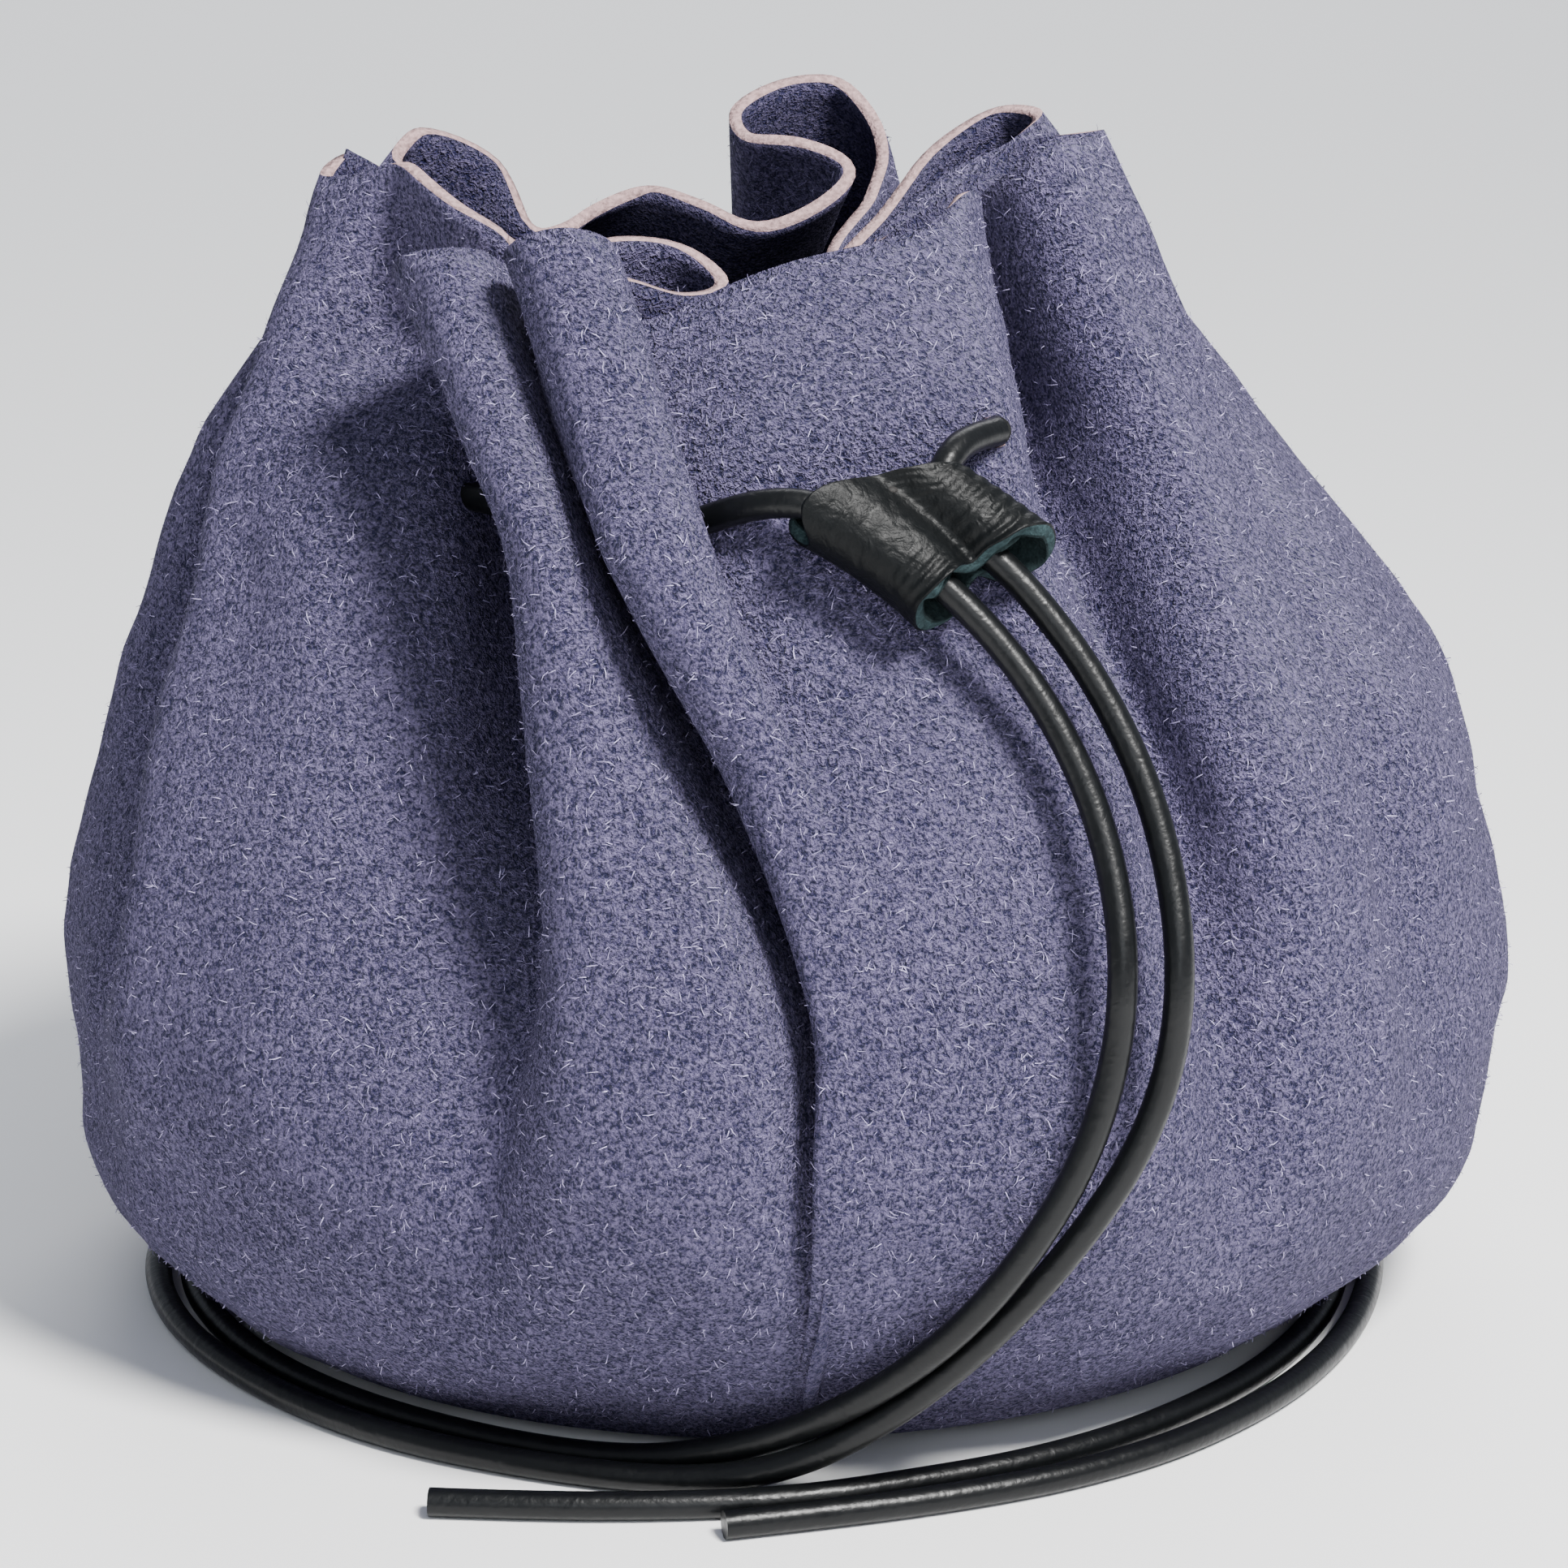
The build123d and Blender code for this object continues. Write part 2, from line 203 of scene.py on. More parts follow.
RIGHT_TAIL = (
    (17.7, -42.3, 89.6), (16.0, -44.5, 89.7), (13.9, -47.5, 89.2), (12.3, -50.0, 86.5),
    (13.3, -51.3, 83.7), (17.4, -51.8, 81.1), (21.7, -53.2, 76.6), (25.8, -55.2, 71.0),
    (29.3, -58.0, 64.3), (31.4, -61.2, 57.3), (32.2, -64.8, 50.1), (31.6, -65.0, 42.0),
    (29.0, -65.6, 34.6), (25.0, -65.8, 28.0), (20.3, -64.8, 21.4), (14.8, -63.0, 14.8),
    (8.4, -61.0, 8.8), (1.0, -59.2, 3.9), (-8.0, -56.7, 1.25), (-20.4, -53.8, 1.25),
    (-35.2, -46.9, 1.25), (-47.9, -35.0, 1.25), (-57.0, -20.2, 1.25), (-60.6, -3.4, 1.25),
    (-58.6, 13.9, 1.25), (-49.9, 32.3, 1.25), (-35.2, 46.9, 1.25), (-15.8, 55.2, 1.25),
    (4.6, 57.3, 1.25), (24.7, 51.9, 1.25), (41.3, 40.0, 1.25), (52.7, 23.1, 1.25),
    (57.2, 3.6, 1.25), (54.6, -16.9, 1.25), (47.0, -34.3, 1.25), (35.9, -47.5, 1.25),
    (25.2, -55.0, 1.25), (15.0, -59.4, 1.25), (5.0, -62.6, 1.25), (-5.0, -65.2, 1.25),
)
# The cord inside the neck, through the folds, from the left hole to the right hole.
NECK_CORD = (
    (-11.1, -47.2, 82.0), (-16.5, -43.0, 81.2), (-21.5, -31.5, 80.4), (-26.5, -24.0, 80.0),
    (-36.0, -20.5, 79.8), (-42.5, -15.5, 79.8), (-46.5, -5.5, 80.0), (-45.0, 8.0, 80.4),
    (-41.5, 19.5, 81.0), (-33.0, 31.0, 81.6), (-20.5, 40.0, 82.4), (-7.0, 41.5, 83.4),
    (5.5, 41.5, 84.4), (17.0, 35.5, 85.4), (27.5, 27.0, 86.6), (33.5, 15.0, 87.8),
    (31.0, 4.0, 88.6), (24.5, -0.5, 89.0), (16.5, -4.2, 89.2), (12.6, -13.2, 89.3),
    (13.4, -24.0, 89.4), (16.0, -33.5, 89.5), (17.7, -42.3, 89.6),
)
# The two punched holes in the flat panel, and a hole's radius.
HOLES = ((-11.1, -47.2, 82.0), (17.7, -42.3, 89.6))
HOLE_RADIUS = 1.4
# The tails' real lengths in metres.
LEFT_LENGTH = 0.494
RIGHT_LENGTH = 0.486

# The slide's rear edge: angles about the hinge at these radii.
REAR_RADII = (37.2, 38.2, 39.6, 41.5, 45.0, 50.4)
REAR_ANGLES = (59.8, 62.6, 63.6, 62.6, 57.2, 50.2)
# The slide's mesh: rows from its rear to its mouths, and points round its section.
SLIDE_ROWS = 80
SLIDE_AROUND = 48
SLIDE_WALL = 1.4
SLIDE_INNER = 37.2
SLIDE_WIDTH = 13.1
# The radius between the slide's two tubes, and the angle of its left and right mouths.
SLIDE_MIDDLE = 44.0
LEFT_MOUTH = 42.1
RIGHT_MOUTH = 37.9
# A point inside the slide and the stitch's middle: radius, angle and height over the plane.
SLIDE_CENTRE = (43.8, 51.0, 0.0)
STITCH_CENTRE = (44.6, 55.0, 1.5)
STITCH_RADIUS = 0.6

# The slide turns about the common centre of the two tails' arcs, in their plane.
ARC_CENTRE = Vector((-12.9, -73.0, 53.7))
ARC_RIGHT = Vector((0.976, 0.218, 0.0)).normalized()
ARC_NORMAL = Vector((0.194, -0.867, 0.459)).normalized()

# The camera's place, its aim and its lens, and where the lamps point, in metres.
CAMERA_PLACE = Vector((0.0, -0.4326, 0.1710))
CAMERA_AIM = Vector((0.0, 0.0, 0.047))
LENS = 109.85
LAMP_AIM = Vector((0.0, 0.0, 0.05))


class DiceBagSuede(bpy.types.PropertyGroup):
    """Sizes and colours of the suede."""

    flat_diameter: FloatProperty(
        name="Flat diameter",
        description="Diameter that the round piece was cut to",
        default=0.325,
        unit="LENGTH",
    )
    thickness: FloatProperty(
        name="Thickness",
        description="Thickness of the suede",
        default=0.0012,
        unit="LENGTH",
    )
    segments: IntProperty(
        name="Segments",
        description="Faces between two lines of the folds",
        default=6,
        min=2,
        max=12,
    )
    fibres: IntProperty(
        name="Fibres",
        description="Loose fibres on the nap",
        default=24000,
        min=0,
        max=40000,
    )
    # The suede's colour is mixed from the next two: the nap colour is partly a painted highlight on
    # the tufts' tips, and the root colour partly painted shade between the fibres.
    light: FloatVectorProperty(
        name="Nap colour",
        description="Colour of the nap where it catches the light",
        default=(0.188, 0.160, 0.300),
        subtype="COLOR",
        min=0,
        max=1,
    )
    dark: FloatVectorProperty(
        name="Root colour",
        description="Colour between the fibres",
        default=(0.010, 0.010, 0.044),
        subtype="COLOR",
        min=0,
        max=1,
    )
    edge: FloatVectorProperty(
        name="Cut edge colour",
        description="Colour of the cut edge at the rim",
        default=(0.46, 0.31, 0.31),
        subtype="COLOR",
        min=0,
        max=1,
    )


class DiceBagLeather(bpy.types.PropertyGroup):
    """Sizes and colours of the cord and the slide."""

    cord_diameter: FloatProperty(
        name="Cord diameter",
        description="Diameter of the round leather cord",
        default=0.0025,
        unit="LENGTH",
    )
    cord: FloatVectorProperty(
        name="Cord colour",
        description="Colour of the drawcord",
        default=(0.0026, 0.0030, 0.0034),
        subtype="COLOR",
        min=0,
        max=1,
    )
    slide: FloatVectorProperty(
        name="Slide colour",
        description="Colour of the slide's grain side",
        default=(0.0022, 0.0027, 0.0030),
        subtype="COLOR",
        min=0,
        max=1,
    )
    flesh: FloatVectorProperty(
        name="Flesh colour",
        description="Colour of the slide's fuzzy cut edges",
        default=(0.030, 0.052, 0.056),
        subtype="COLOR",
        min=0,
        max=1,
    )


class Sock:
    """A node's output with arithmetic on it."""

    def __init__(self, tree, socket):
        self.tree = tree
        self.socket = socket

    def node(self, kind, output=0, settings=None, **values):
        """Adds a node of that kind, sets its settings and inputs, and gives an output."""
        made = self.tree.nodes.new(kind)
        for name, value in (settings or {}).items():
            setattr(made, name, value)
        for key, value in values.items():
            number = key.startswith("i") and key[1:].isdigit()
            target = made.inputs[int(key[1:]) if number else key.replace("_", " ")]
            self.put(target, value)
        return Sock(self.tree, made.outputs[output])

    def put(self, target, value):
        """Links an output to the target, or sets the target to a plain value."""
        if isinstance(value, Sock):
            self.tree.links.new(value.socket, target)
        else:
            target.default_value = value

    def maths(self, operation, first, second=0.0, clamp=False):
        settings = {"operation": operation, "use_clamp": clamp}
        return self.node("ShaderNodeMath", settings=settings, i0=first, i1=second)

    def __add__(self, other):
        return self.maths("ADD", self, other)

    def __sub__(self, other):
        return self.maths("SUBTRACT", self, other)

    def __mul__(self, other):
        return self.maths("MULTIPLY", self, other)

    def clamped(self):
        return self.maths("ADD", self, 0.0, clamp=True)

    def noise(self, scale, detail=2.0, roughness=0.5, distortion=0.0):
        """Noise at this position, in waves a metre."""
        return self.node(
            "ShaderNodeTexNoise",
            Vector=self,
            Scale=scale,
            Detail=detail,
            Roughness=roughness,
            Distortion=distortion,
        )

    def mixed(self, first, second):
        """The first colour where this is 0, the second where it is 1."""
        return self.node(
            "ShaderNodeMix",
            output=2,
            settings={"data_type": "RGBA"},
            i0=self,
            i6=(*first, 1.0),
            i7=(*second, 1.0),
        )

    def bump(self, strength, distance):
        """The normal of a surface with this height."""
        return self.node(
            "ShaderNodeBump", Height=self, Strength=strength, Distance=distance
        )


def start_material(name):
    """A new material, its Principled shader and the Object coordinates."""
    material = bpy.data.materials.new(name)
    material.use_nodes = True
    tree = material.node_tree
    shader = tree.nodes["Principled BSDF"]
    where = Sock(tree, tree.nodes.new("ShaderNodeTexCoord").outputs["Object"])
    return material, shader, where


def suede_material(name, dark, light, sheen):
    """Split suede: a mottle of tufts with dark gaps between them, partly the nap's own tone and
    partly painted shade in the gaps and painted highlight on the tufts.
    """
    material, shader, where = start_material(name)
    tuft = where.noise(2000.0, detail=2.0, roughness=0.65, distortion=0.8)
    fine = where.noise(4200.0, detail=2.0, roughness=0.6)
    cloud = where.noise(55.0, detail=2.0)
    # Painted shade and highlight: the colour follows the tufts' height, dark in the gaps and light
    # on the tips, over a random tone of the nap.
    share = ((tuft - 0.5) * 3.4 + (fine - 0.5) * 2.4 + (cloud - 0.5) * 0.3 + 0.48).clamped()
    where.put(shader.inputs["Base Color"], share.mixed(dark, light))
    where.put(shader.inputs["Normal"], (tuft + fine * 0.35).bump(1.0, 0.0024))
    shader.inputs["Roughness"].default_value = 0.93
    shader.inputs["Specular IOR Level"].default_value = 0.12
    shader.inputs["Sheen Weight"].default_value = sheen
    shader.inputs["Sheen Roughness"].default_value = 0.45
    shader.inputs["Sheen Tint"].default_value = (0.75, 0.74, 1.0, 1.0)
    return material


def edge_material(name, colour):
    """The fuzzy cut edge of leather, with darker flecks of painted shade in the fuzz's hollows."""
    material, shader, where = start_material(name)
    fuzz = where.noise(1800.0, detail=2.0, roughness=0.6)
    # Painted shade: the colour darkens to 0.45 where the fuzz, which is also the bump's height, is
    # low.
    share = ((fuzz - 0.5) * 2.4 + 0.6).clamped()
    shadow = [0.45 * c for c in colour]
    where.put(shader.inputs["Base Color"], share.mixed(shadow, colour))
    where.put(shader.inputs["Normal"], fuzz.bump(0.7, 0.0004))
    shader.inputs["Roughness"].default_value = 0.95
    shader.inputs["Specular IOR Level"].default_value = 0.1
    return material


def leather_material(name, colour, gloss, grain, strength, shine):
    """Dyed grain leather with fine pores and slightly uneven gloss.

    gloss is its mean roughness, grain the pores' waves a metre, strength how deep they
    look, and shine its specular level."""
    material, shader, where = start_material(name)
    pores = where.noise(grain, detail=3.0, roughness=0.6)
    creases = where.noise(grain * 0.35, detail=2.0, distortion=1.2)
    wear = where.noise(140.0, detail=2.0)
    pale = [1.6 * c for c in colour]
    worn = ((wear - 0.35) * 1.5).clamped()
    where.put(shader.inputs["Base Color"], worn.mixed(colour, pale))
    where.put(shader.inputs["Roughness"], (pores - 0.5) * 0.25 + gloss)
    where.put(shader.inputs["Normal"], (pores * 0.6 + creases).bump(strength, 0.0003))
    shader.inputs["Specular IOR Level"].default_value = shine
    return material


def thread_material(name):
    """Dark waxed thread."""
    material, shader, where = start_material(name)
    fuzz = where.noise(3500.0)
    colour = fuzz.mixed((0.004, 0.004, 0.004), (0.014, 0.012, 0.011))
    where.put(shader.inputs["Base Color"], colour)
    shader.inputs["Roughness"].default_value = 0.75
    return material


def between(u, start, start_slope, end, end_slope):
    """The point a share u of the way along a smooth curve, from its ends and slopes."""
    return (
        (2 * u**3 - 3 * u**2 + 1) * start
        + (u**3 - 2 * u**2 + u) * start_slope
        + (3 * u**2 - 2 * u**3) * end
        + (u**3 - u**2) * end_slope
    )


def spline_rows(points, times, wanted):
    """Smooth curves through rows of points. Each row has its time, and wanted are new times."""
    points = np.asarray(points, float)
    times = np.asarray(times, float)
    slopes = np.empty_like(points)
    slopes[1:-1] = (points[2:] - points[:-2]) / (times[2:] - times[:-2])[:, None, None]
    slopes[0] = (points[1] - points[0]) / (times[1] - times[0])
    slopes[-1] = (points[-1] - points[-2]) / (times[-1] - times[-2])
    made = []
    for time in wanted:
        start = min(max(int(np.searchsorted(times, time, "right")) - 1, 0), len(times) - 2)
        step = times[start + 1] - times[start]
        made.append(between(
            (time - times[start]) / step,
            points[start],
            step * slopes[start],
            points[start + 1],
            step * slopes[start + 1],
        ))
    return np.array(made)


def spline_ring(points, segments):
    """A closed smooth curve through points, with that many steps between two of them."""
    after = np.roll(points, -1, axis=0)
    span = np.sqrt(np.linalg.norm(after - points, axis=1) + 0.05)[:, None]
    before_span = np.roll(span, 1, axis=0)
    step_in = (points - np.roll(points, 1, axis=0)) / before_span
    step_out = (after - points) / span
    slopes = (step_in * span + step_out * before_span) / (span + before_span)
    slopes_after = np.roll(slopes, -1, axis=0)
    made = [
        between(step / segments, points, span * slopes, after, span * slopes_after)
        for step in range(segments)
    ]
    return np.stack(made, axis=1).reshape(-1, 3)


def envelope_point(height, angle, inset=0.0):
    """The point of the unfolded outside at that height and angle."""
    heights = [level[0] for level in ENVELOPE]
    radius, share, shift = (
        np.interp(height, heights, [level[column] for level in ENVELOPE])
        for column in (1, 2, 3)
    )
    x = shift + share * (radius - inset) * cos(radians(angle))
    return (x, (radius - inset) * sin(radians(angle)), height)


def collar_point(index):
    """Where a line of FOLDS passes between its neck and its rim."""
    fold = FOLDS[index]
    neck = Vector((*fold[1], NECK_HEIGHT))
    rim = Vector(fold[0])
    point = neck.lerp(rim, UPRIGHT_SHARE if index in UPRIGHT_AT_RIM else COLLAR_SHARE)
    point.z = neck.z + COLLAR_SHARE * (rim.z - neck.z)
    if index < len(PANEL_BULGE):
        point.y -= PANEL_BULGE[index]
    return tuple(point)


def control_rows():
    """The rows of points that the suede passes through, and their distances along it."""
    turns = [fold[3][0] for fold in FOLDS]
    # Hooked folds share angles at the belly. In order, they don't overlap in the base.
    flat_turns = sorted(turns, reverse=True)
    edge = [envelope_point(0.0, turn) for turn in flat_turns]
    rows = [[(share * x, share * y, 0.0) for x, y, _ in edge] for _, share in BASE_ROWS]
    for way, height, depth in BELLY_ROWS:
        rows.append([
            envelope_point(height, turn, depth * fold[3][1])
            for turn, fold in zip(turns if depth else flat_turns, FOLDS)
        ])
    rows.append([(*fold[2], SHOULDER_HEIGHT) for fold in FOLDS])
    rows.append([(*fold[1], NECK_HEIGHT) for fold in FOLDS])
    rows.append([collar_point(index) for index in range(len(FOLDS))])
    rows.append([fold[0] for fold in FOLDS])
    ways = [row[0] for row in (*BASE_ROWS, *BELLY_ROWS)]
    return rows, [*ways, SHOULDER_WAY, NECK_WAY, COLLAR_WAY, RIM_WAY]


def suede_points(segments):
    """All points of the suede's outside, row by row from the base to the rim."""
    rows, ways = control_rows()
    wanted = np.concatenate([
        np.linspace(0.0, LAST_BASE_WAY, BASE_RINGS),
        np.linspace(BASE_EDGE_WAY, RIM_WAY, WALL_RINGS),
    ])
    return np.array([spline_ring(ring, segments) for ring in spline_rows(rows, ways, wanted)])


def relax(rings, rounds, across=0.25, upwards=0.2):
    """Evens out the rings above the base a little, round each ring and from ring to ring."""
    for _ in range(rounds):
        around = (np.roll(rings, 1, axis=1) + np.roll(rings, -1, axis=1)) / 2
        along = rings.copy()
        along[1:-1] = (rings[2:] + rings[:-2]) / 2
        upper = rings[FIRST_RELAXED:]
        sideways = across * (around[FIRST_RELAXED:] - upper)
        upper += sideways + upwards * (along[FIRST_RELAXED:] - upper)
    return rings


def roughen(rings):
    """Slow unevenness of soft leather, none at the base."""
    centres = rings.mean(axis=1)
    for centre, ring in zip(centres[FIRST_ROUGH:], rings[FIRST_ROUGH:]):
        for point in ring:
            away = Vector((point[0] - centre[0], point[1] - centre[1], 0.0)).normalized()
            slow = noise.noise(Vector(point) * 0.07) * 0.9
            quick = noise.noise(Vector(point) * 0.2) * 0.35
            point[:] = point[:] + np.array(away * (slow + quick))
    return rings


def sheet_mesh(rings):
    """A grid laid over the rings, closed round the bag and at the base's middle."""
    rows, columns = rings.shape[:2]
    bm = bmesh.new()
    bmesh.ops.create_grid(bm, x_segments=columns, y_segments=rows - 1, size=1.0)
    bm.verts.ensure_lookup_table()
    for index, vertex in enumerate(bm.verts):
        row, column = divmod(index, columns + 1)
        vertex.co = Vector(rings[row][column % columns]) * MM
    bmesh.ops.remove_doubles(bm, verts=bm.verts[:], dist=1e-7)
    return bm


def punch(bm, holes, radius):
    """Opens a round hole in the sheet at each place, and leaves the folds behind it whole."""
    reach = 2.2 * radius
    for hole in holes:
        centre = Vector(hole) * MM
        near = min(bm.faces, key=lambda f: (f.calc_center_median() - centre).length)
        axis = near.normal.copy()
        middle = centre - axis * (centre - near.calc_center_median()).dot(axis)

        def across(point):
            offset = point - middle
            return (offset - axis * offset.dot(axis)).length

        cut = [
            f for f in bm.faces
            if (f.calc_center_median() - middle).length < reach
            and across(f.calc_center_median()) < radius
        ]
        rim = {v for f in cut for v in f.verts if any(g not in cut for g in v.link_faces)}
        bmesh.ops.delete(bm, geom=cut, context="FACES")
        for vertex in rim:
            if vertex.is_valid and vertex.link_faces:
                offset = vertex.co - middle
                flat = offset - axis * offset.dot(axis)
                vertex.co = vertex.co + flat.normalized() * (radius - flat.length)


def finish_object(name, bm, materials, smooth=True):
    """Makes the object of a bmesh, with its materials."""
    for face in bm.faces:
        face.smooth = smooth
    mesh = bpy.data.meshes.new(name)
    bm.to_mesh(mesh)
    bm.free()
    for material in materials:
        mesh.materials.append(material)
    made = bpy.data.objects.new(name, mesh)
    bpy.context.scene.collection.objects.link(made)
    return made


def thicken(piece, thickness):
    """Gives a sheet its wall inwards, its second material inside and its third at edges."""
    wall = piece.modifiers.new("wall", "SOLIDIFY")
    wall.thickness = thickness
    wall.offset = -1.0
    wall.material_offset = 1
    wall.material_offset_rim = 2


class DICEBAG_OT_suede(bpy.types.Operator):
    """Builds the folded suede body and the loose fibres of its nap"""

    bl_idname = "dicebag.suede"
    bl_label = "Suede body"

    def execute(self, context):
        sizes = context.scene.dice_bag_suede
        rings = roughen(relax(suede_points(sizes.segments), rounds=3))
        bm = sheet_mesh(rings)
        bmesh.ops.recalc_face_normals(bm, faces=bm.faces[:])
        rightmost = max(bm.faces, key=lambda f: f.calc_center_median().x)
        if rightmost.normal.x < 0:
            bmesh.ops.reverse_faces(bm, faces=bm.faces[:])
        punch(bm, HOLES, HOLE_RADIUS * MM)
        bm.normal_update()
        fibres = self.nap(bm, sizes.fibres)
        dark = tuple(sizes.dark)
        light = tuple(sizes.light)
        outside = suede_material("suede_nap", dark, light, 0.12)
        # The inside takes the nap's colours with darker tips and lighter roots: partly the flesh
        # side's own slate tone and partly painted shade inside the bag.
        inside = suede_material(
            "suede_inside", [1.3 * c for c in dark], [0.75 * c for c in light], 0.1
        )
        edge = edge_material("suede_cut_edge", tuple(sizes.edge))
        body = finish_object("suede_bag", bm, [outside, inside, edge])
        thicken(body, sizes.thickness)
        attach(body, "bag")
        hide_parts("suede_body")
        nap = finish_object("suede_fibres", fibres, [self.fibre_material(light)])
        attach(nap, "bag")
        return {"FINISHED"}

    def fibre_material(self, light):
        """Fibres in the nap's colour or paler; the paler ones are a painted highlight on the loose
        fibres.
        """
        material, shader, where = start_material("suede_loose_fibres")
        # Painted highlight: a random share of the fibres is mixed towards a much paler colour than
        # the nap.
        tone = ((where.noise(900.0) - 0.4) * 3.0).clamped()
        pale = [min(1.0, 2.0 * c + 0.18) for c in light]
        where.put(shader.inputs["Base Color"], tone.mixed(light, pale))
        shader.inputs["Roughness"].default_value = 0.9
        return material

    def nap(self, bm, count):
        """Short curved fibres that stand off the outside, each a strip of two faces."""
        draw = random.Random(7)
        lowest = 3.0 * MM
        faces = [f for f in bm.faces if f.calc_center_median().z > lowest]
        areas = np.cumsum([f.calc_area() for f in faces])
        fibres = bmesh.new()
        bmesh.ops.create_grid(fibres, x_segments=1, y_segments=3 * count - 1, size=1.0)
        fibres.verts.ensure_lookup_table()
        fibres.faces.ensure_lookup_table()
        for number in range(count):
            face = faces[int(np.searchsorted(areas, draw.random() * areas[-1]))]
            corners = [v.co for v in face.verts]
            weights = [draw.random() for _ in corners]
            root = sum((w * c for w, c in zip(weights, corners)), Vector()) / sum(weights)
            out = face.normal
            along = Vector((draw.gauss(0, 1), draw.gauss(0, 1), draw.gauss(0, 1)))
            along = (along - out * along.dot(out)).normalized()
            side = out.cross(along)
            length = draw.uniform(0.35, 1.1) * MM
            rise = draw.uniform(0.12, 0.5) * length
            bend = side * draw.uniform(-0.35, 0.35) * length
            width = side * draw.uniform(0.025, 0.05) * MM
            spine = (
                root - out * 0.02 * MM,
                root + along * 0.5 * length + out * rise + bend * 0.6,
                root + along * 0.95 * length + out * rise * 0.9 + bend * 1.6,
            )
            for step, (point, share) in enumerate(zip(spine, (1.0, 0.8, 0.3))):
                first = (3 * number + step) * 2
                fibres.verts[first].co = point - width * share
                fibres.verts[first + 1].co = point + width * share
        joins = [fibres.faces[index] for index in range(2, 3 * count - 1, 3)]
        bmesh.ops.delete(fibres, geom=joins, context="FACES")
        return fibres


def cord_curve(name, points, diameter, material):
    """A round cord along the points, with closed ends."""
    curve = bpy.data.curves.new(name, "CURVE")
    curve.dimensions = "3D"
    curve.bevel_depth = diameter / 2
    curve.bevel_resolution = 5
    curve.resolution_u = 10
    curve.use_fill_caps = True
    spline = curve.splines.new("NURBS")
    spline.points.add(len(points) - 1)
    for place, point in zip(spline.points, points):
        place.co = (*(c * MM for c in point), 1.0)
    spline.order_u = 3
    spline.use_endpoint_u = True
    spline.use_smooth = True
    curve.materials.append(material)
    made = bpy.data.objects.new(name, curve)
    bpy.context.scene.collection.objects.link(made)
    return made


class DICEBAG_OT_cord(bpy.types.Operator):
    """Builds the drawcord round the neck and its two long tails"""

    bl_idname = "dicebag.cord"
    bl_label = "Drawcord"

    def execute(self, context):
        sizes = context.scene.dice_bag_leather
        leather = leather_material(
            "cord_leather", tuple(sizes.cord), gloss=0.35, grain=1400.0, strength=0.22, shine=0.27
        )
        for name, points, node, length in (
            ("drawcord_around_neck", NECK_CORD, "drawcord_neck", None),
            ("left_tail", LEFT_TAIL, "drawcord_tail_left", LEFT_LENGTH),
            ("right_tail", RIGHT_TAIL, "drawcord_tail_right", RIGHT_LENGTH),
        ):
            piece = cord_curve(name, points, sizes.cord_diameter, leather)
            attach(piece, "bag")
            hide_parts(node)
        return {"FINISHED"}


def arc_point(radius, angle, out):
    """A point by radius and angle in the tails' plane, and height over the plane."""
    up = ARC_NORMAL.cross(ARC_RIGHT)
    turned = ARC_RIGHT * cos(radians(angle)) + up * sin(radians(angle))
    return (ARC_CENTRE + turned * radius + ARC_NORMAL * out) * MM


